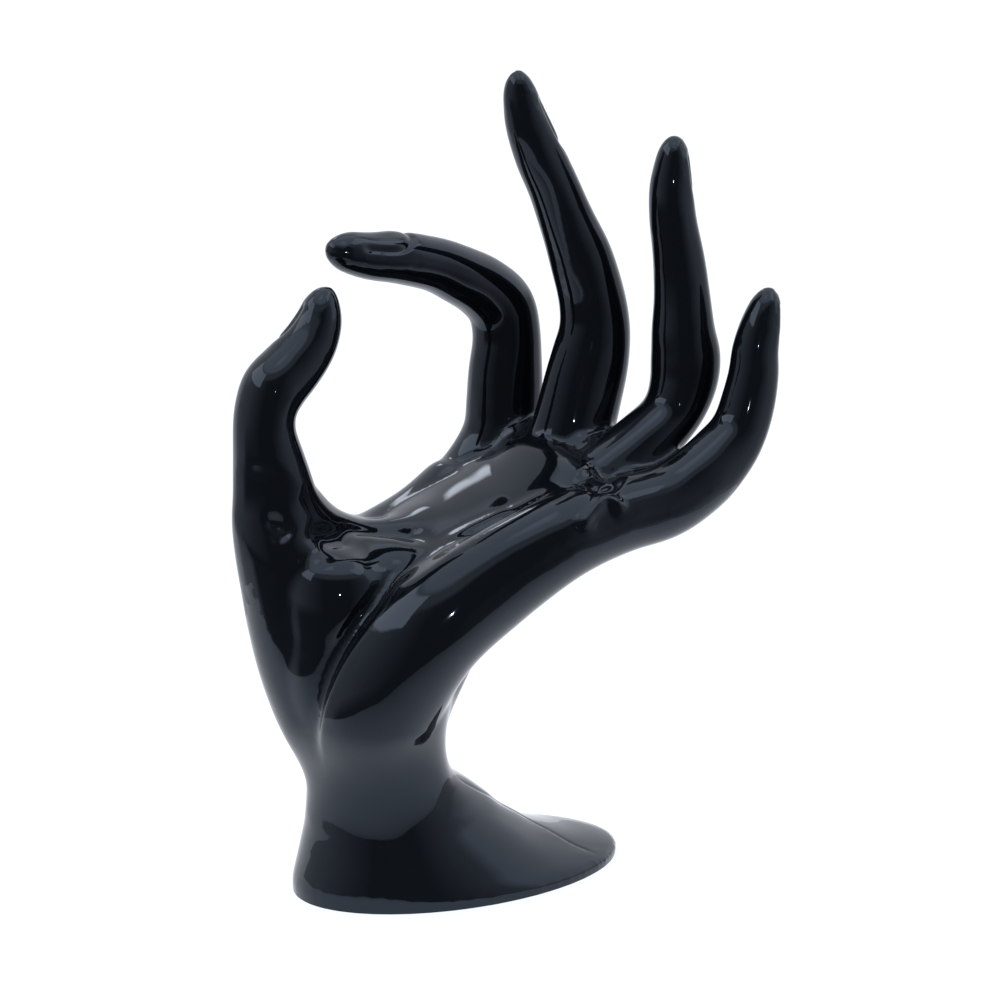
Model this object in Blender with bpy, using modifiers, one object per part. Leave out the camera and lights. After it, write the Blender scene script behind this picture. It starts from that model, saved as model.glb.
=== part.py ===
"""A hand jewelry stand: a left hand on a flared oval foot, moulded in one piece.

The hand stands on its wrist. The palm faces -X and leans back, the foot reaches to +X under the
back of the hand, and the thumb and index finger reach to each other round a gap for bangles.
The origin is on the table, under the wrist.
"""

import math

import bmesh
import bpy
from mathutils import Vector

MM = 0.001
ACROSS_HAND = Vector((0, 1, 0))

# The black moulding
MOULD_BLACK = (0.012, 0.013, 0.015, 1.0)
MOULD_ROUGHNESS = 0.12

# The surface
SECTION_POINTS = 32
STEPS_PER_STATION = 6
TIP_ROUNDING = 5.0
UNION_VOXEL = 0.9
SMOOTHING_FACTOR = 0.5
SMOOTHING_TURNS = 9
FACE_SHARE = 0.105

# Foot and wrist: height, reach to the front, reach to the back, half width, shift to the thumb,
# in millimetres. The table cuts the lowest part off.
FOOT = [
    (-3, 19.4, 53.4, 23.0, 0),
    (0.6, 19.7, 54.0, 23.3, 0),
    (1.6, 19.8, 54.2, 23.3, 0),
    (3, 19.5, 50.5, 22.6, 0),
    (5, 18.8, 43.0, 21.2, 0),
    (8, 17.9, 34.8, 19.8, 0),
    (11, 17.3, 29.9, 18.8, 0),
    (14, 16.9, 25.8, 18.1, 0),
    (17, 16.7, 22.6, 17.6, 0),
    (20, 16.4, 18.8, 17.1, 0),
    (24, 16.2, 13.5, 16.8, -0.3),
    (28, 16.4, 11.2, 16.8, -0.8),
    (33, 17.0, 10.0, 17.0, -1.6),
    (38, 17.3, 10.0, 17.2, -2.6),
    (44, 16.5, 10.8, 16.8, -4),
    (50, 12.0, 12.5, 15.0, -5),
]

# The hand's masses, each from the wrist out: centre x, y, z, half width across the hand and half
# depth through it, in millimetres
PALM = [
    (-2, -1, 26, 14, 11),
    (-1, -2, 37, 15, 10.5),
    (2, -3, 48, 17, 9),
    (10, -4, 60, 20, 8),
    (21, -5, 71, 20.5, 7.5),
    (32, -6, 80, 19.5, 7.2),
    (40, -6.5, 87.5, 18, 7),
]
THENAR = [
    (-8, 1, 28, 8, 8),
    (-10.5, 1, 45, 11, 11.5),
    (-9, 0.5, 56, 11.5, 13.5),
    (-8.5, 0, 64, 11, 14),
    (-8, 0.5, 69.5, 9, 12.5),
    (-7, 1, 72.5, 7, 10),
]
PALM_SHEET = [
    (-8, 9, 68.5, 5, 4.5),
    (-1, 4, 69.5, 10.5, 5),
    (6, 1.5, 70.5, 15, 5),
    (14, 0.5, 73.5, 17, 5),
    (22, 0.5, 77, 18, 5),
    (30, 0.5, 80.5, 18, 5),
    (36, 1, 84, 15, 5),
]
HEEL = [
    (-2, -4, 50, 7, 7),
    (0, -5, 59, 7, 7),
    (5, -7, 66, 7, 6),
]
WEB = [
    (-19, 9, 86, 7, 5),
    (-12, 10, 78, 7.5, 5),
    (-5, 11.5, 72, 7.5, 5.5),
    (2.5, 12.5, 69.3, 7.5, 5.5),
    (10, 13, 70.7, 7.5, 5.5),
    (19, 13, 74.6, 7.5, 5.5),
    (28.5, 13, 81, 7.5, 5.5),
]
THUMB = [
    (-4, 2, 14, 9.5, 9.5),
    (-5.8, 3, 27, 11, 10.2),
    (-10.7, 5, 40, 11.5, 11),
    (-14.3, 7, 53, 11.5, 10.8),
    (-17.3, 8, 66, 10.3, 10),
    (-19.7, 8, 77, 9, 9.3),
    (-20.6, 8, 84, 8.2, 8.4),
    (-21.7, 8, 91, 7.2, 7.3),
    (-22.5, 8, 97, 6.5, 6.3),
    (-22.1, 8, 101.5, 6.4, 6.2),
    (-20, 8, 105.6, 6.6, 6.6),
    (-16.1, 8, 109, 6.3, 6.2),
    (-12.2, 8, 113, 5.8, 5.6),
    (-9.9, 8, 117, 5, 4.8),
    (-8.7, 8, 121, 3.8, 3.8),
    (-7.2, 8, 124.8, 2.8, 2.8),
]
INDEX = [
    (-2, 4, 24, 8.5, 9),
    (-1, 7.5, 43, 9, 9),
    (6.5, 11, 59, 8.5, 8),
    (20.2, 13.5, 70.8, 8, 7.3),
    (31.2, 14, 79.1, 7.9, 7.6),
    (36.9, 14, 86.7, 7.6, 7.9),
    (38.1, 14, 93.7, 7.4, 8.1),
    (38.5, 14, 100.7, 7, 8),
    (38.7, 14, 107.7, 6.7, 7.2),
    (37.2, 14, 114.1, 6.6, 7.1),
    (32.9, 14, 118.4, 6.5, 6.7),
    (27.2, 14, 121.7, 6.4, 6.1),
    (21.1, 14, 124.7, 6, 5.6),
    (13, 14, 126.9, 5.8, 5.4),
    (5.9, 14, 127.9, 5, 4.8),
    (0.1, 14, 129.6, 4, 4),
    (-4.4, 14, 131, 3, 3),
]
MIDDLE = [
    (-2, 0, 24, 8.5, 9),
    (3, 0.5, 43, 9, 8.5),
    (13, 0, 60.5, 8.3, 7.6),
    (28.5, -1.3, 73.2, 8, 8),
    (38.7, -2, 81.2, 8, 8.6),
    (43.8, -2, 89, 7.8, 8.9),
    (47, -2, 99, 7.3, 8.8),
    (48.8, -2, 105.6, 7.2, 8.3),
    (49.8, -2, 111.5, 6.8, 7.5),
    (48.9, -2, 118, 6.5, 7),
    (46.2, -2, 126, 6.4, 6.5),
    (43, -2, 133.5, 5.7, 5.9),
    (39.5, -2, 141.5, 5.2, 5.3),
    (36, -2, 148.1, 5, 5),
    (33.2, -2, 154.6, 4.6, 4.6),
    (31.5, -2, 160.7, 3.6, 3.6),
    (30.8, -2, 166, 2.8, 2.8),
]
RING = [
    (-2, -3, 24, 8.5, 9),
    (3, -7, 43, 9, 8.5),
    (13, -10.5, 60, 8, 7.6),
    (28.8, -13.8, 74, 7.4, 7.4),
    (43, -15.2, 82.9, 7, 7.3),
    (52.7, -16, 89.6, 6.7, 6.4),
    (59.1, -16, 94.5, 6.5, 6.1),
    (62.1, -16, 100.3, 6.8, 6.9),
    (62.7, -16, 106, 7.1, 7.2),
    (62, -16, 111.5, 6.5, 6.6),
    (61.5, -16, 119.1, 5.7, 5.8),
    (60.5, -16, 127.5, 5.2, 5.3),
    (59, -16, 135.9, 4.8, 4.8),
    (58.6, -16, 142, 4.4, 4.4),
    (58.9, -16, 147.5, 3.5, 3.4),
    (59.5, -16, 152.4, 2.6, 2.6),
]
LITTLE = [
    (-2, -2, 14, 8, 8),
    (-3, -3.5, 28, 10.5, 10.5),
    (-5.2, -8, 42, 12.6, 12.6),
    (0.8, -16, 57.2, 11, 11.3),
    (12.7, -21.5, 67.8, 9, 10.3),
    (26.3, -25.3, 75.4, 8, 8.9),
    (39, -27, 78.6, 7.2, 7.8),
    (49.3, -28.2, 80.3, 6.9, 7.6),
    (57.1, -29, 84.1, 6.6, 7.4),
    (63, -29, 88.5, 6.2, 6.8),
    (66.9, -29, 93, 5.9, 5.8),
    (69, -29, 98.7, 5.5, 5.6),
    (70.2, -29, 104.1, 5.2, 5.2),
    (70.5, -29, 108.7, 4.9, 4.8),
    (71.8, -29, 113.7, 4.4, 4.3),
    (73, -29, 117.7, 3.5, 3.4),
    (74.5, -29, 121.9, 2.6, 2.6),
]
INDEX_MIDDLE_WEB = [
    (24, 6, 70, 5, 5),
    (33, 6, 79, 5, 6),
    (39, 6, 86, 5, 6.5),
    (41.5, 6, 91.5, 4, 5.5),
]
MIDDLE_RING_WEB = [
    (26, -8, 71, 5, 5),
    (36, -8.6, 79.5, 5, 6),
    (43.5, -9, 86, 4.5, 6),
    (47.5, -9, 90.5, 3.5, 5),
]
RING_LITTLE_WEB = [
    (28, -20, 73, 5, 5),
    (38, -21.5, 77.5, 4.5, 5.5),
    (47, -22.3, 81.5, 4.5, 5.5),
    (51, -22.3, 84, 3.5, 4),
]
LIMBS = [
    PALM, THENAR, PALM_SHEET, HEEL, WEB, THUMB, INDEX, MIDDLE, RING, LITTLE,
    INDEX_MIDDLE_WEB, MIDDLE_RING_WEB, RING_LITTLE_WEB,
]


def spline(stations, t):
    """The station at t on the smooth curve through the stations; t counts from 0 at the first."""
    i = min(int(t), len(stations) - 2)
    f = t - i
    before = stations[max(i - 1, 0)]
    here, there = stations[i], stations[i + 1]
    after = stations[min(i + 2, len(stations) - 1)]
    return [
        0.5 * (2 * b + (c - a) * f + (2 * a - 5 * b + 4 * c - d) * f**2 + (3 * b - a - 3 * c + d) * f**3)
        for a, b, c, d in zip(before, here, there, after)
    ]


def resampled(stations):
    """The stations with more of them between, along the smooth curve."""
    steps = (len(stations) - 1) * STEPS_PER_STATION
    return [spline(stations, k / STEPS_PER_STATION) for k in range(steps + 1)]


def add_loft(bm, rings):
    """Adds a closed solid through rings of points, with a flat face on each end."""
    loops = [[bm.verts.new(Vector(p) * MM) for p in ring] for ring in rings]
    count = len(rings[0])
    faces = [bm.faces.new(loops[0]), bm.faces.new(loops[-1])]
    for lower, upper in zip(loops, loops[1:]):
        for i in range(count):
            j = (i + 1) % count
            faces.append(bm.faces.new((lower[i], lower[j], upper[j], upper[i])))
    bmesh.ops.recalc_face_normals(bm, faces=faces)


def foot_ring(height, front, back, half_width, shift):
    """The oval outline of the foot or wrist at one height."""
    centre, reach = (back - front) / 2, (back + front) / 2
    ring = []
    for i in range(2 * SECTION_POINTS):
        turn = math.pi * i / SECTION_POINTS
        ring.append((centre + reach * math.cos(turn), shift + half_width * math.sin(turn), height))
    return ring


def limb_rings(stations):
    """Oval sections square to the curve through the stations, closing to a round tip."""
    samples = resampled(stations)
    centres = [Vector(s[:3]) for s in samples]
    last = len(centres) - 1
    rings = []
    for k, (centre, sample) in enumerate(zip(centres, samples)):
        ahead = (centres[min(k + 1, last)] - centres[max(k - 1, 0)]).normalized()
        across = (ACROSS_HAND - ahead * ahead.dot(ACROSS_HAND)).normalized()
        through = ahead.cross(across)
        short = max(1 - (centres[last] - centre).length / TIP_ROUNDING, 0)
        closing = math.sqrt(max(1 - short**2, 0.01))
        half_width, half_depth = sample[3] * closing, sample[4] * closing
        ring = []
        for i in range(SECTION_POINTS):
            turn = 2 * math.pi * i / SECTION_POINTS
            side, front = half_width * math.cos(turn), half_depth * math.sin(turn)
            ring.append(centre + across * side + through * front)
        rings.append(ring)
    return rings


def plastic():
    """The glossy black plastic of the moulding."""
    material = bpy.data.materials.new("black_plastic")
    material.use_nodes = True
    shader = material.node_tree.nodes["Principled BSDF"]
    shader.inputs["Base Color"].default_value = MOULD_BLACK
    shader.inputs["Roughness"].default_value = MOULD_ROUGHNESS
    shader.inputs["Metallic"].default_value = 0.0
    return material


def collection(name):
    new = bpy.data.collections.new(name)
    bpy.context.scene.collection.children.link(new)
    return new


def below_table():
    """The block that cuts the foot flat at the table's height. Its top is twice the foot's plan."""
    front, back = max(s[1] for s in FOOT), max(s[2] for s in FOOT)
    length, width = 2 * (front + back), 4 * max(s[3] for s in FOOT)
    depth = width / 2
    centre = Vector(((back - front) / 2, 0, -depth / 2)) * MM
    bpy.ops.mesh.primitive_cube_add(size=1, location=centre)
    block = bpy.context.object
    block.name = "below_table"
    block.scale = Vector((length, width, depth)) * MM
    block.hide_render = True
    block.display_type = "WIRE"
    for home in list(block.users_collection):
        home.objects.unlink(block)
    collection("cutters").objects.link(block)
    return block


def main():
    for old in list(bpy.data.objects):
        bpy.data.objects.remove(old)

    bm = bmesh.new()
    add_loft(bm, [foot_ring(*station) for station in resampled(FOOT)])
    for stations in LIMBS:
        add_loft(bm, limb_rings(stations))
    mesh = bpy.data.meshes.new("hand_stand")
    bm.to_mesh(mesh)
    bm.free()
    hand = bpy.data.objects.new("hand_stand", mesh)
    collection("hand_jewelry_stand").objects.link(hand)
    mesh.materials.append(plastic())

    union = hand.modifiers.new("one_body", "REMESH")
    union.mode = "VOXEL"
    union.voxel_size = UNION_VOXEL * MM
    union.use_smooth_shade = True
    blend = hand.modifiers.new("blend", "SMOOTH")
    blend.factor = SMOOTHING_FACTOR
    blend.iterations = SMOOTHING_TURNS
    fewer = hand.modifiers.new("fewer_faces", "DECIMATE")
    fewer.ratio = FACE_SHARE
    sole = hand.modifiers.new("flat_sole", "BOOLEAN")
    sole.operation = "DIFFERENCE"
    sole.solver = "EXACT"
    sole.object = below_table()


main()
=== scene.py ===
import math

import bpy
import numpy as np
from mathutils import Matrix, Vector


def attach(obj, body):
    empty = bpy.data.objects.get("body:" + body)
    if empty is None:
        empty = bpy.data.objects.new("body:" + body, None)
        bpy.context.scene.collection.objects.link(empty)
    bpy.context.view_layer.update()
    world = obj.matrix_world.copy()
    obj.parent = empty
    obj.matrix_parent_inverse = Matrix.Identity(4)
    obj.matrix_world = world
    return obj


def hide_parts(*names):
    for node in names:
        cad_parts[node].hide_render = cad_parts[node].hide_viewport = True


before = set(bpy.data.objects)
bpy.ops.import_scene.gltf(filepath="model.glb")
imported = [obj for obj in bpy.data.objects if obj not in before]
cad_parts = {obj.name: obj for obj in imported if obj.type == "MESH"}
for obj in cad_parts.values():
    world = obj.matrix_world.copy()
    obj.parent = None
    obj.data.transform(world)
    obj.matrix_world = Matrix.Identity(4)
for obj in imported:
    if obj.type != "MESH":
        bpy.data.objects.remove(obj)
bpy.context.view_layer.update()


# ---- Wrist and foot ----
# The stand is one moulding of hard black plastic, polished in the mould. Its wrist flares into an
# oval foot that runs out under the back of the hand. Each row is a height, the reach to the front,
# the reach to the back, half the width and the shift to the thumb's side, in millimetres.

MM = 0.001
foot_rows = [
    (-3, 19.4, 53.4, 23.0, 0),
    (0.6, 19.7, 54.0, 23.3, 0),
    (1.6, 19.8, 54.2, 23.3, 0),
    (3, 19.7, 50.5, 22.6, 0),
    (5, 19.2, 43.0, 21.2, 0),
    (8, 18.3, 34.8, 19.8, 0),
    (11, 17.5, 29.9, 18.7, 0),
    (14, 16.8, 25.8, 17.6, 0),
    (17, 16.5, 22.6, 16.9, 0),
    (20, 16.1, 18.8, 16.4, 0),
    (24, 15.9, 13.5, 16.3, -0.3),
    (28, 16.3, 11.2, 16.5, -0.8),
    (33, 17.0, 10.0, 17.0, -1.6),
    (38, 17.3, 10.0, 17.2, -2.6),
    (44, 16.5, 10.8, 16.8, -4),
    (50, 12.0, 12.5, 15.0, -5),
]


def between(rows, t):
    """The row at t on the smooth curve through the rows, counted from 0 at the first."""
    i = min(int(t), len(rows) - 2)
    f = t - i
    four = rows[max(i - 1, 0)], rows[i], rows[i + 1], rows[min(i + 2, len(rows) - 1)]
    return [
        0.5 * (2 * b + (c - a) * f + (2 * a - 5 * b + 4 * c - d) * f**2 + (3 * b - a - 3 * c + d) * f**3)
        for a, b, c, d in zip(*four)
    ]


def drawn_out(rows, steps=8):
    """The rows with more of them between, along the smooth curve."""
    return [between(rows, k / steps) for k in range((len(rows) - 1) * steps + 1)]


def ringed(name, rings):
    """A closed form through rings, each a centre, the axes it lies on and its half sizes along them."""
    bpy.ops.object.select_all(action="DESELECT")
    for k, (centre, axes, sizes) in enumerate(rings):
        turn = axes.to_euler()
        bpy.ops.mesh.primitive_circle_add(vertices=48, radius=MM, location=centre * MM, rotation=turn)
        if k == 0:
            bpy.ops.object.mode_set(mode="EDIT")
            bpy.ops.mesh.select_mode(type="EDGE")
        bpy.ops.transform.resize(
            value=(*sizes, 1), orient_type="GLOBAL", orient_matrix=axes,
            orient_matrix_type="GLOBAL", center_override=centre * MM,
        )
    bpy.ops.mesh.select_all(action="SELECT")
    bpy.ops.mesh.bridge_edge_loops()
    bpy.ops.mesh.select_all(action="DESELECT")
    bpy.ops.mesh.select_non_manifold()
    bpy.ops.mesh.edge_face_add()
    bpy.ops.mesh.select_all(action="SELECT")
    bpy.ops.mesh.normals_make_consistent(inside=False)
    bpy.ops.object.mode_set(mode="OBJECT")
    form = bpy.context.object
    form.name = name
    bpy.ops.object.transform_apply(location=True, rotation=True, scale=True)
    return form


LEVEL = Matrix.Identity(3)
foot_rings = []
for height, front, back, half_width, shift in drawn_out(foot_rows):
    middle = Vector(((back - front) / 2, shift, height))
    foot_rings.append((middle, LEVEL, ((back + front) / 2, half_width)))
forms = [ringed("foot", foot_rings)]


# ---- Palm, thumb and fingers ----
# They are masses of the same plastic that run into each other with no joint. Each row is a point on
# the line through the middle of a mass, from the wrist out, then half its width across the hand and
# half its depth, in millimetres. A mass ends in a round tip.

hand_rows = {
    "palm": [
        (-2, -1, 26, 14, 11),
        (-1, -2, 37, 15, 10.5),
        (2, -3, 48, 17, 9),
        (10, -4, 60, 20, 8),
        (21, -5, 71, 20.5, 7.5),
        (32, -6, 80, 19.5, 7.2),
        (40, -6.5, 87.5, 18, 7),
    ],
    "ball_of_thumb": [
        (-8, 1, 28, 8, 8),
        (-10.5, 1, 45, 11, 11.5),
        (-9, 0.5, 56, 11.5, 13.5),
        (-8.5, 0, 64, 11, 14),
        (-8, 0.5, 69.5, 9, 12.5),
        (-7, 1, 72.5, 7, 10),
    ],
    "palm_sheet": [
        (-8, 9, 68.5, 5, 4.5),
        (-1, 4, 69.5, 10.5, 5),
        (6, 1.5, 70.5, 15, 5),
        (14, 0.5, 73.5, 17, 5),
        (22, 0.5, 77, 18, 5),
        (30, 0.5, 80.5, 18, 5),
        (36, 1, 84, 15, 5),
    ],
    "heel": [
        (-2, -4, 50, 7, 7),
        (0, -5, 59, 7, 7),
        (5, -7, 66, 7, 6),
    ],
    "thumb_web": [
        (-19, 9, 86, 7, 5),
        (-12, 10, 78, 7.5, 5),
        (-5, 11.5, 72, 7.5, 5.5),
        (2.5, 12.5, 69.3, 7.5, 5.5),
        (10, 13, 70.7, 7.5, 5.5),
        (19, 13, 74.6, 7.5, 5.5),
        (28.5, 13, 81, 7.5, 5.5),
    ],
    "web_wall": [
        (-20, 4.5, 83, 4.5, 3.5),
        (-14, 5, 79.5, 4.5, 3.5),
        (-8, 6.5, 76, 4.5, 3.5),
        (-2, 9, 73, 4.5, 3.5),
    ],
    "thumb": [
        (-4, 2, 14, 9.5, 9.5),
        (-5.8, 3, 27, 11, 10.2),
        (-10.7, 5, 40, 11.5, 11),
        (-14.3, 7, 53, 11.5, 10.8),
        (-17.3, 8, 66, 10.3, 10),
        (-19.7, 8, 77, 9, 9.3),
        (-20.6, 8, 84, 8.2, 8.4),
        (-21.7, 8, 91, 7.2, 7.3),
        (-22.5, 8, 97, 6.5, 6.3),
        (-22.1, 8, 101.5, 6.4, 6.2),
        (-20, 8, 105.6, 6.6, 6.6),
        (-16.1, 8, 109, 6.3, 6.2),
        (-12.2, 8, 113, 5.8, 5.6),
        (-9.9, 8, 117, 5, 4.8),
        (-8.7, 8, 121, 3.8, 3.8),
        (-7.2, 8, 124.8, 2.8, 2.8),
    ],
    "index_finger": [
        (-2, 4, 24, 8.5, 9),
        (-1, 7.5, 43, 9, 9),
        (6.5, 11, 59, 8.5, 8),
        (20.2, 13.5, 70.8, 8, 7.3),
        (31.2, 14, 79.1, 7.9, 7.6),
        (36.9, 14, 86.7, 7.6, 7.9),
        (38.1, 14, 93.7, 7.4, 8.1),
        (38.5, 14, 100.7, 7, 8),
        (38.7, 14, 107.7, 6.7, 7.2),
        (37.2, 14, 114.1, 6.6, 7.1),
        (32.9, 14, 118.4, 6.5, 6.7),
        (27.2, 14, 121.7, 6.4, 6.1),
        (21.1, 14, 124.7, 6, 5.6),
        (13, 14, 126.9, 5.8, 5.4),
        (5.9, 14, 127.9, 5, 4.8),
        (0.1, 14, 129.6, 4, 4),
        (-4.4, 14, 131, 3, 3),
    ],
    "middle_finger": [
        (-2, 0, 24, 8.5, 9),
        (3, 0.5, 43, 9, 8.5),
        (13, 0, 60.5, 8.3, 7.6),
        (28.5, -1.3, 73.2, 8, 8),
        (38.7, -2, 81.2, 8, 8.6),
        (43.8, -2, 89, 7.8, 8.9),
        (47, -2, 99, 7.3, 8.8),
        (48.8, -2, 105.6, 7.2, 8.3),
        (49.8, -2, 111.5, 6.8, 7.5),
        (48.9, -2, 118, 6.5, 7),
        (46.2, -2, 126, 6.4, 6.5),
        (43, -2, 133.5, 5.7, 5.9),
        (39.5, -2, 141.5, 5.2, 5.3),
        (36, -2, 148.1, 5, 5),
        (33.2, -2, 154.6, 4.6, 4.6),
        (31.5, -2, 160.7, 3.6, 3.6),
        (30.8, -2, 166, 2.8, 2.8),
    ],
    "ring_finger": [
        (-2, -3, 24, 8.5, 9),
        (3, -7, 43, 9, 8.5),
        (13, -10.5, 60, 8, 7.6),
        (28.8, -13.8, 74, 7.4, 7.4),
        (43, -15.2, 82.9, 7, 7.3),
        (52.7, -16, 89.6, 6.7, 6.4),
        (59.1, -16, 94.5, 6.5, 6.1),
        (62.1, -16, 100.3, 6.8, 6.9),
        (62.7, -16, 106, 7.1, 7.2),
        (62, -16, 111.5, 6.5, 6.6),
        (61.5, -16, 119.1, 5.7, 5.8),
        (60.5, -16, 127.5, 5.2, 5.3),
        (59, -16, 135.9, 4.8, 4.8),
        (58.6, -16, 142, 4.4, 4.4),
        (58.9, -16, 147.5, 3.5, 3.4),
        (59.5, -16, 152.4, 2.6, 2.6),
    ],
    "little_finger": [
        (-2, -2, 14, 8, 8),
        (-4.2, -2.7, 28, 12, 11.5),
        (-6.6, -7.2, 42, 14.2, 13.4),
        (-0.2, -15.4, 57.2, 12.2, 11.6),
        (12.7, -21.5, 67.8, 9, 10.3),
        (26.3, -25.3, 75.4, 8, 8.9),
        (39, -27, 78.6, 7.2, 7.8),
        (49.3, -28.2, 80.3, 6.9, 7.6),
        (57.1, -29, 84.1, 6.6, 7.4),
        (63, -29, 88.5, 6.2, 6.8),
        (66.9, -29, 93, 5.9, 5.8),
        (69, -29, 98.7, 5.5, 5.6),
        (70.2, -29, 104.1, 5.2, 5.2),
        (70.5, -29, 108.7, 4.9, 4.8),
        (71.8, -29, 113.7, 4.4, 4.3),
        (73, -29, 117.7, 3.5, 3.4),
        (74.5, -29, 121.9, 2.6, 2.6),
    ],
    "index_middle_web": [
        (24, 6, 70, 5, 5),
        (33, 6, 79, 5, 6),
        (39, 6, 86, 5, 6.5),
        (41.5, 6, 91.5, 4, 5.5),
    ],
    "middle_ring_web": [
        (26, -8, 71, 5, 5),
        (36, -8.6, 79.5, 5, 6),
        (43.5, -9, 86, 4.5, 6),
        (47.5, -9, 90.5, 3.5, 5),
    ],
    "ring_little_web": [
        (28, -20, 73, 5, 5),
        (38, -21.5, 77.5, 4.5, 5.5),
        (47, -22.3, 81.5, 4.5, 5.5),
        (51, -22.3, 84, 3.5, 4),
    ],
}


def limb_rings(rows, rounding=5.0):
    """Oval rings square to the line through the rows, closing to a round tip."""
    rows = drawn_out(rows)
    line = [Vector(row[:3]) for row in rows]
    last = len(line) - 1
    rings = []
    for k, row in enumerate(rows):
        ahead = (line[min(k + 1, last)] - line[max(k - 1, 0)]).normalized()
        across = Vector((0, 1, 0))
        across = (across - ahead * ahead.dot(across)).normalized()
        axes = Matrix((across, ahead.cross(across), ahead)).transposed()
        short = max(1 - (line[last] - line[k]).length / rounding, 0)
        closing = math.sqrt(max(1 - short**2, 0.01))
        rings.append((line[k], axes, (row[3] * closing, row[4] * closing)))
    return rings


for name, rows in hand_rows.items():
    forms.append(ringed(name, limb_rings(rows)))


# ---- The skin ----
# In the mould all of these are one hollow, so the masses are joined, made one skin, blended where
# they meet, and cut flat where the foot stands on the table.

SKIN_VOXEL = 0.74


def modified(obj, kind, **settings):
    """Adds a modifier and applies it at once."""
    bpy.context.view_layer.objects.active = obj
    modifier = obj.modifiers.new(kind.lower(), kind)
    for key, value in settings.items():
        setattr(modifier, key, value)
    bpy.ops.object.modifier_apply(modifier=modifier.name)


bpy.ops.object.select_all(action="DESELECT")
for form in forms:
    form.select_set(True)
bpy.context.view_layer.objects.active = forms[0]
bpy.ops.object.join()
hand = bpy.context.object
hand.name = "hand"
hand.data.name = "hand"
modified(hand, "REMESH", mode="VOXEL", voxel_size=SKIN_VOXEL * MM, use_smooth_shade=True)

# The lines of the palm, the nails and the mould's seam, as points on the skin in millimetres. The skin
# near them gets finer faces here, and the next section carves them.
life_line = [
    (4.2, -11.2, 72.8), (-0.4, -11.0, 69.4), (-3.5, -10.3, 66.5), (-7.6, -11.3, 64.3),
    (-11.0, -11.1, 61.7), (-13.7, -10.4, 58.5), (-15.5, -9.6, 54.8), (-16.8, -8.9, 51.2),
    (-17.8, -7.9, 46.5), (-18.2, -6.4, 40.9), (-17.5, -4.1, 34.9), (-16.6, -1.5, 28.8),
]
above_thenar = [
    (-20.7, -0.9, 76.1), (-14.6, 0, 75.7), (-6.7, 3.6, 74.6), (-1.2, 3, 74.5), (2.9, -1.9, 74.8),
    (4.4, -7.1, 74.3), (4.2, -11.2, 72.8),
]
dimple = [
    (32.2, -23.0, 85.2), (32.0, -29.4, 84.8), (36.6, -28.6, 85.8), (37.4, -21.5, 86.0),
    (32.2, -23.0, 85.2),
]
small_fold = [
    (24.7, -32.5, 78.8), (28.4, -32.2, 81.3), (32.2, -31.2, 83.6), (34.4, -32.3, 82.9),
    (35.9, -33.6, 80.5),
]
nails = {
    "thumb": [
        (-8.5, 13.2, 123), (-9.6, 13.4, 119), (-11.4, 13.9, 115.5), (-13.6, 13.5, 113.3),
        (-15.4, 12.4, 112.6), (-16.8, 11.1, 113.3), (-16.6, 10.1, 115.5), (-14.4, 9.8, 119),
        (-12.7, 10, 123),
    ],
    "index": [
        (1.5, 10.2, 130.6), (5, 9.8, 130.1), (10.1, 9.1, 129.6), (13.2, 10, 130.8),
        (14.3, 12, 131.9), (14.3, 16, 131.9), (13.2, 18, 130.8), (10.1, 18.9, 129.6),
        (5, 18.2, 130.1), (1.5, 17.8, 130.6),
    ],
    "middle": [
        (36.2, -5.4, 162), (37.5, -5.6, 158), (39, -5.6, 154), (40.2, -4.4, 151), (40.6, -2, 150.2),
        (40.2, 0.4, 151), (39, 1.6, 154), (37.5, 1.6, 158), (36.2, 1.4, 162),
    ],
    "ring": [
        (62, -18.9, 150), (62.3, -19, 146), (62.8, -19.2, 142.5), (63.3, -18, 140),
        (63.6, -16, 139.2), (63.3, -14, 140), (62.8, -12.8, 142.5), (62.3, -13, 146),
        (62, -13.1, 150),
    ],
    "little": [
        (77.6, -31.6, 119), (76.6, -31.9, 115.5), (75.8, -32.2, 112), (75.4, -31, 109.6),
        (75.4, -29, 108.8), (75.4, -27, 109.6), (75.8, -25.8, 112), (76.6, -26.1, 115.5),
        (77.6, -26.4, 119),
    ],
}
tail_seam = [
    (10.6, -10.1, 24.1), (18, -8, 18.9), (28.5, -3.2, 11.7), (34.1, -6.1, 7.7),
    (37.8, -11.8, 5.0), (42.5, -15.9, 2.2),
]
fine_lines = [life_line, above_thenar, dimple, small_fold, tail_seam, *nails.values()]
finer = np.array([p for line in fine_lines for p in drawn_out(line, 4)])
FINER_REACH = 5
bpy.ops.object.mode_set(mode="EDIT")
bpy.ops.mesh.select_all(action="DESELECT")
bpy.ops.object.mode_set(mode="OBJECT")
for face in hand.data.polygons:
    face.select = bool(np.abs(finer - np.array(face.center) / MM).sum(1).min() < FINER_REACH)
bpy.ops.object.mode_set(mode="EDIT")
bpy.ops.mesh.subdivide(number_cuts=1)
bpy.ops.object.mode_set(mode="OBJECT")
modified(hand, "SMOOTH", factor=0.5, iterations=16)
bpy.ops.object.mode_set(mode="EDIT")
bpy.ops.mesh.select_all(action="SELECT")
bpy.ops.mesh.bisect(
    plane_co=(0, 0, 0), plane_no=(0, 0, 1), use_fill=True, clear_inner=True, threshold=1e-7
)
bpy.ops.object.mode_set(mode="OBJECT")
bpy.ops.object.shade_smooth_by_angle(angle=math.radians(60))
print("hand has", sum(len(p.vertices) - 2 for p in hand.data.polygons), "triangles")


# ---- Creases, folds and nails ----
# The mould was cut from a carved hand, so its skin has the lines of one, moulded in and not added.
# The skin near each line is pressed in along it, or out where the depth is below 0.

edges = np.empty(len(hand.data.edges) * 2, int)
hand.data.edges.foreach_get("vertices", edges)
edges = edges.reshape(-1, 2)


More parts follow.
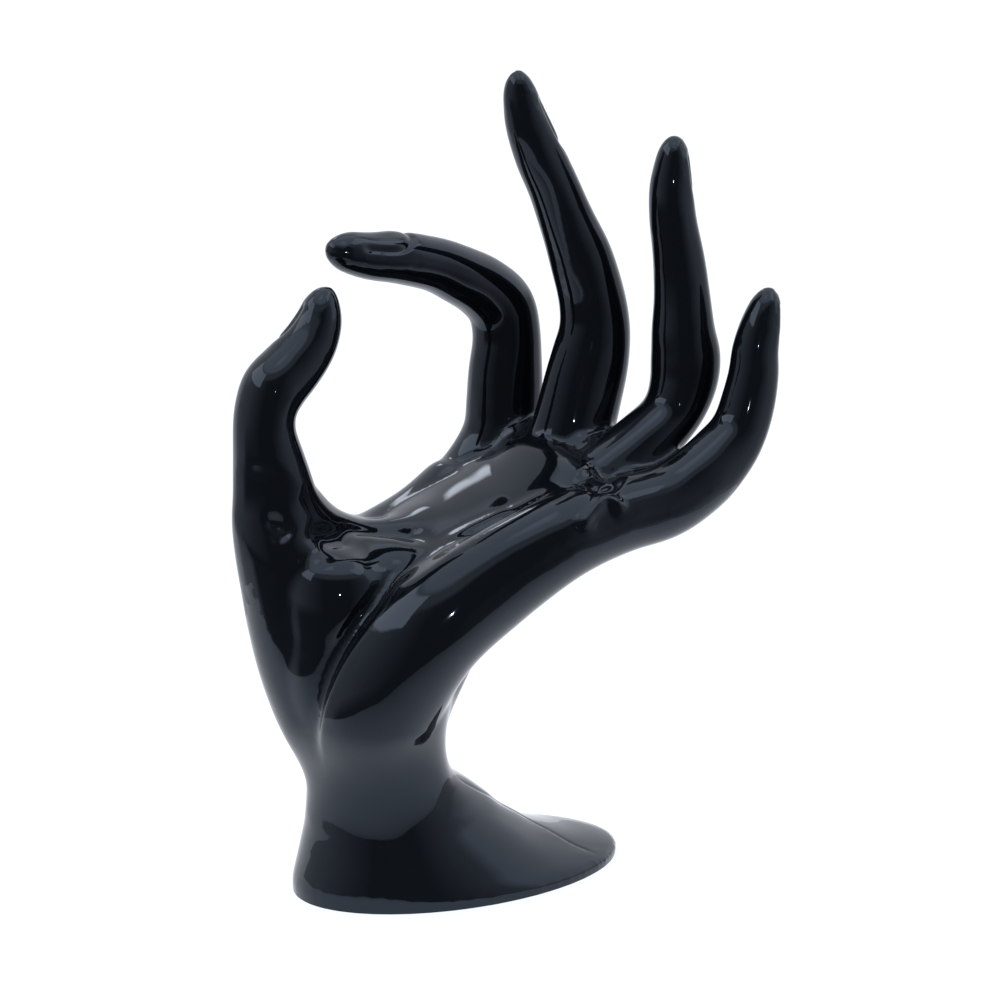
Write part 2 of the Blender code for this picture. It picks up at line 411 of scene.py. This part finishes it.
def read(what):
    """The positions in millimetres, or the normals, of all the vertices."""
    values = np.empty(len(hand.data.vertices) * 3)
    hand.data.vertices.foreach_get(what, values)
    return values.reshape(-1, 3) / (MM if what == "co" else 1)


def write(places):
    """Moves all the vertices to the positions, in millimetres."""
    hand.data.vertices.foreach_set("co", (places * MM).ravel())
    hand.data.update()


def near(points, reach, places):
    """Which vertices are within reach of the line, how far off it they are and how far along it."""
    line = []
    for point in drawn_out(points, 5) if len(points) > 1 else points * 2:
        found, on_skin, *_ = hand.closest_point_on_mesh(Vector(point) * MM)
        line.append(on_skin / MM)
    line = np.array(line)
    some = np.where(np.all((places > line.min(0) - reach) & (places < line.max(0) + reach), axis=1))[0]
    off, along = np.full(len(some), 1e9), np.zeros(len(some))
    steps = np.linalg.norm(np.diff(line, axis=0), axis=1)
    start = np.concatenate(([0], np.cumsum(steps)))
    for k, step in enumerate(steps):
        way = (line[k + 1] - line[k]) / max(step, 1e-6)
        t = np.clip((places[some] - line[k]) @ way, 0, step)
        gap = np.linalg.norm(places[some] - line[k] - t[:, None] * way, axis=1)
        closer = gap < off
        off[closer], along[closer] = gap[closer], (start[k] + t[closer]) / max(start[-1], 1e-6)
    kept = off < reach
    return some[kept], off[kept], along[kept]


def pressed(points, width, depth, ends=0.25, sharp=2.0):
    """Presses the skin in along a line, less and less towards its two ends."""
    places, normals = read("co"), read("normal")
    some, off, along = near(points, width * 3, places)
    fade = 1.0
    if ends:
        fade = np.clip(along / ends, 0, 1) * np.clip((1 - along) / ends, 0, 1)
        fade = fade * fade * (3 - 2 * fade)
    places[some] -= normals[some] * (depth * fade * np.exp(-((off / width) ** sharp)))[:, None]
    write(places)


def relaxed(points, reach, times):
    """Smooths the skin within reach of a line."""
    places = read("co")
    some, off, along = near(points, reach, places)
    weight = np.zeros(len(places))
    weight[some] = (1 - (off / reach) ** 2) ** 2
    local = edges[(weight[edges[:, 0]] > 0) | (weight[edges[:, 1]] > 0)]
    local, order = np.unique(local, return_inverse=True)
    order = order.reshape(-1, 2)
    part, weight = places[local], weight[local][:, None]
    joined = np.bincount(order.ravel(), minlength=len(local))[:, None]
    for _ in range(times):
        total = np.stack([
            np.bincount(order[:, 0], part[order[:, 1], k], len(local))
            + np.bincount(order[:, 1], part[order[:, 0], k], len(local))
            for k in range(3)
        ], axis=1)
        part += (total / joined - part) * weight
    places[local] = part
    write(places)


# The masses run into each other softly beside the palm, in the thumb's web and at the wrist.
relaxed([(-1, -8, 70), (1.5, -11, 71), (6, -11.5, 73)], 8, 200)
relaxed([(-26, 3, 84), (-22, 2, 79), (-14, 3, 77), (-4, 4, 75), (3, 0, 75)], 9, 200)
relaxed([(-16, 1, 80), (-10, 3.5, 77.5), (-5, 4.5, 75)], 6, 250)
relaxed([(-16, -3.7, 27), (-13, -11.4, 27), (-7.2, -16.3, 27), (-3, -17, 26)], 13, 200)

# The creases above and round the ball of the thumb, and the one at the thumb's root.
thumb_root = [(-26.6, 2.1, 78.9), (-24.6, 0.6, 79.6), (-22.8, -0.3, 77.5), (-21.7, -0.7, 76.2)]
pressed(above_thenar, 2.6, 1.5)
pressed(life_line, 1.8, 0.9)
pressed(thumb_root, 1.9, 1.1)
relaxed(life_line, 3, 12)

# The dimple under the ring finger, the fold and hollow beside it, the ridge across the palm under
# the fingers, and the swelling of the palm's middle.
heart_line = [
    (5.2, -11.5, 73.2), (10.5, -12.4, 75.4), (14.6, -13.4, 77.0), (18.7, -14.5, 78.5),
    (22.2, -16.4, 80.0), (25.7, -18.5, 82.1), (28.8, -20.9, 83.8), (32.4, -22.7, 85.3),
]
relaxed([(34.0, -26.4, 85.7)], 6, 100)
pressed(dimple, 1.4, 0.5, ends=0)
pressed(small_fold, 1.4, -1.1, ends=0.2)
pressed([(30, -33.5, 80.5), (32.5, -33.5, 81)], 2.2, 0.5, ends=0)
pressed(heart_line, 1.8, -0.7)
pressed([(5, 2, 76), (9, 1.5, 77.5)], 6, -0.5, ends=0)

# Each nail has a groove round it, and its plate stands a little proud. The seam is a fine line down
# the tail of the foot.
for nail in nails.values():
    relaxed(nail, 3, 10)
    pressed(nail, 0.8, 0.45, ends=0.08)
    root, tips = Vector(nail[len(nail) // 2]), (Vector(nail[0]) + Vector(nail[-1])) / 2
    pressed([root.lerp(tips, 0.25), root.lerp(tips, 0.85)], 2.4, -0.2, ends=0)
pressed(tail_seam, 0.6, 0.18, ends=0.1)

# Moulded plastic shrinks unevenly as it cools, which leaves slight waves in the shine. Each wave has
# a direction, a length and a height, and they die out just above the foot's flat underside.
skin_waves = [
    ((0.8, 0.1, 0.6), 10, 0.012),
    ((-0.3, 0.9, 0.3), 12, 0.015),
    ((0.2, -0.5, 0.8), 8, 0.008),
    ((0.5, 0.6, -0.6), 16, 0.03),
    ((-0.7, 0.3, 0.65), 21, 0.06),
]
places = read("co")
waves = np.zeros(len(places))
for way, length, size in skin_waves:
    waves += size * np.sin(places @ np.array(way) * (2 * math.pi / length) + 3 * length)
waves *= np.clip(places[:, 2] / 4 - 0.5, 0, 1)
write(places + read("normal") * waves[:, None])


# ---- Black plastic ----
# Hard glossy plastic, coloured black right through. It is polished like glass, so it takes its look
# from what it mirrors, bluish where it is seen square on.


class Made:
    """One output among a material's or the world's nodes. Sums written on it add Math nodes."""

    def __init__(self, tree, socket=None):
        self.tree, self.socket = tree, socket

    def add(self, kind, inputs=(), out=0, **settings):
        """Adds a node with its settings, then its inputs, each a number, a colour or an output."""
        node = self.tree.nodes.new("ShaderNode" + kind)
        for key, value in settings.items():
            setattr(node, key, value)
        for place, value in dict(inputs).items():
            if isinstance(value, Made):
                self.tree.links.new(value.socket, node.inputs[place])
            else:
                node.inputs[place].default_value = value
        return Made(self.tree, node.outputs[out])

    def parts(self):
        """All the outputs of this one's node."""
        return [Made(self.tree, socket) for socket in self.socket.node.outputs]

    def maths(self, operation, *others):
        return self.add("Math", enumerate((self, *others)), operation=operation)

    def held(self, low=0.0, high=1.0):
        return self.add("Clamp", {0: self, 1: low, 2: high})

    def into(self, node, place):
        self.tree.links.new(self.socket, node.inputs[place])

    def __add__(self, other):
        return self.maths("ADD", other)

    def __sub__(self, other):
        return self.maths("SUBTRACT", other)

    def __rsub__(self, other):
        return self.maths("MULTIPLY", -1.0) + other

    def __mul__(self, other):
        return self.maths("MULTIPLY", other)

    def __truediv__(self, other):
        return self.maths("DIVIDE", other)

    __radd__ = __add__
    __rmul__ = __mul__


black = bpy.data.materials.new("black_plastic")
black.use_nodes = True
gloss = black.node_tree.nodes["Principled BSDF"]
gloss.inputs["Base Color"].default_value = (0.0045, 0.0055, 0.0075, 1)
on_skin = Made(black.node_tree)
skin_spot = on_skin.add("TexCoord", out="Object")
smudges = on_skin.add("TexNoise", {"Vector": skin_spot, "Scale": 70.0, "Detail": 5.0, "Roughness": 0.6})
(0.035 + ((smudges - 0.5) * 3.0).held() * 0.07).into(gloss, "Roughness")
grain = on_skin.add("TexNoise", {"Vector": skin_spot, "Scale": 900.0, "Detail": 2.0})
on_skin.add("Bump", {"Height": grain, "Strength": 0.06, "Distance": 0.00004}).into(gloss, "Normal")
gloss.inputs["IOR"].default_value = 1.5
gloss.inputs["Specular Tint"].default_value = (0.68, 0.82, 1.0, 1)
hand.data.materials.clear()
hand.data.materials.append(black)
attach(hand, "root")
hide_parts("hand_stand")


# ---- Light table and tent ----
# The stand is on a round white light table inside a tent of white cloth. The tent's front is open
# to a dark room, its roof and soft boxes are brighter, and one small lamp is by the camera.

TABLE_REACH = 0.168
TABLE_DEPTH = 0.004
TENT_POWER = 1.2
BACKDROP_POWER = 1.08
CAMERA_TURN = math.radians(-33)
CAMERA_RISE = math.radians(15)
CAMERA_REACH = 0.9
bpy.ops.mesh.primitive_cylinder_add(
    vertices=128, radius=TABLE_REACH, depth=TABLE_DEPTH, location=(0.0277, 0.0059, -TABLE_DEPTH / 2)
)
table = bpy.context.object
table.name = "light_table"
glowing = bpy.data.materials.new("white_glowing_table")
glowing.use_nodes = True
top = glowing.node_tree.nodes["Principled BSDF"]
top.inputs["Base Color"].default_value = (0.25, 0.25, 0.25, 1)
top.inputs["Roughness"].default_value = 0.9
top.inputs["Specular IOR Level"].default_value = 0.0
top.inputs["Emission Strength"].default_value = 0.87

# Painted shade: in what the gloss mirrors, the table's glow colour is painted ever darker over its front
# part towards its edge, while to the camera the whole table stays evenly white.
on_table = Made(glowing.node_tree)
table_x, table_y, _ = on_table.add("SeparateXYZ", {0: on_table.add("TexCoord", out="Object")}).parts()
to_front = table_x * math.sin(CAMERA_TURN) + table_y * -math.cos(CAMERA_TURN)
painted_shade = ((to_front - 0.05) / 0.11).held() * (1 - on_table.add("LightPath", out="Is Camera Ray"))
TABLE_GLOW = (0.96, 0.99, 1.06, 1)
# The darker glow colour painted on the table's front as shade, seen only in the gloss.
PAINTED_SHADE_GLOW = (0.144, 0.1485, 0.159, 1)
glow = on_table.add("Mix", {0: painted_shade, 6: TABLE_GLOW, 7: PAINTED_SHADE_GLOW}, 2, data_type="RGBA")
glow.into(top, "Emission Color")
table.data.materials.append(glowing)

world = bpy.data.worlds.new("light_tent")
bpy.context.scene.world = world
world.use_nodes = True
shine = world.node_tree.nodes["Background"]
shine.inputs["Color"].default_value = (0.94, 0.98, 1.06, 1)
tent = Made(world.node_tree)
x, y, z = tent.add("SeparateXYZ", {0: tent.add("TexCoord", out="Generated")}).parts()
round_about = x.maths("ARCTAN2", y * -1.0) * (180 / math.pi)
height = z.maths("ARCSINE") * (180 / math.pi)


def inside(value, low, high, soft_low=2.0, soft_high=2.0):
    """1 between low and high, and falling to 0 outside over the soft widths."""
    return ((value - low) / soft_low + 1).held() * ((high - value) / soft_high + 1).held()


def lit(light, strength, mask):
    """The light, changed to the strength where the mask is 1."""
    return light + (strength - light) * mask


# How bright each part of the tent is. Round about, 0 degrees is the little finger's side, 90 the back
# of the hand and -90 the side that the palm faces, and height is in degrees above the horizon. First
# the cloth: its walls, what lies below the table, the wall behind, the roof and the lit right wall.
light = lit(1.0 + z * 0.0, 0.45, inside(round_about, -150, 95, 20, 40))
light = lit(light, 0.7, inside(height, -95, -36, 1, 10))
behind = 1 - inside(round_about, -125, 125, 15, 15)
light = lit(light, 0.62, behind * inside(height, 22, 60, 6, 6))
low_behind = 1 - inside(round_about, -150, 108, 20, 20)
light = lit(light, 0.68, low_behind * inside(height, -36, 20, 2, 6))
light = lit(light, 1.1, inside(height, 56, 95, 6, 1))
light = lit(light, 0.95, inside(round_about, 50, 110, 15, 15) * inside(height, 12, 45, 8, 5))

# The dark of the room, below the table's edge and through the tent's opening.
light = lit(light, 0.09, inside(round_about, -104, -2, 14, 42) * inside(height, -32, -16, 2, 10))
light = lit(light, 0.07, inside(round_about, -48, -2, 60, 42) * inside(height, -25, 36, 2, 6))

# Soft boxes to the left, to the right and overhead, and a small lamp behind.
light = lit(light, 1.7, inside(round_about, -150, -80) * inside(height, 29, 50))
light = lit(light, 1.6, inside(round_about, 27, 90) * inside(height, 49, 62))
light = lit(light, 1.6, inside(round_about, -62, -30, 20, 20) * inside(height, 72, 80, 8, 8))
light = lit(light, 3.6, inside(round_about, 166.5, 171, 2, 2) * inside(height, 31, 35, 3, 3))
seen = tent.add("LightPath", out="Is Camera Ray")
lit(light * TENT_POWER, BACKDROP_POWER, seen).into(shine, "Strength")
bpy.context.scene.view_settings.view_transform = "Standard"

sight = Vector((0.02813, 0.00022, 0.07719))


def seen_from(turn, rise, reach):
    """The place at that reach from the middle of the hand, in that direction."""
    flat = math.cos(rise)
    return sight + Vector((math.sin(turn) * flat, -math.cos(turn) * flat, math.sin(rise))) * reach


bpy.ops.object.camera_add(
    location=seen_from(CAMERA_TURN, CAMERA_RISE, CAMERA_REACH),
    rotation=(math.pi / 2 - CAMERA_RISE, 0, CAMERA_TURN),
)
camera = bpy.context.object
camera.data.lens = 158.76
camera.data.sensor_width = 36
bpy.context.scene.camera = camera

lamp_place = seen_from(math.radians(-22), math.radians(13), 0.85)
bpy.ops.object.light_add(type="POINT", radius=0.019, location=lamp_place)
lamp = bpy.context.object
lamp.name = "lamp_by_the_camera"
lamp.data.energy = 1.3
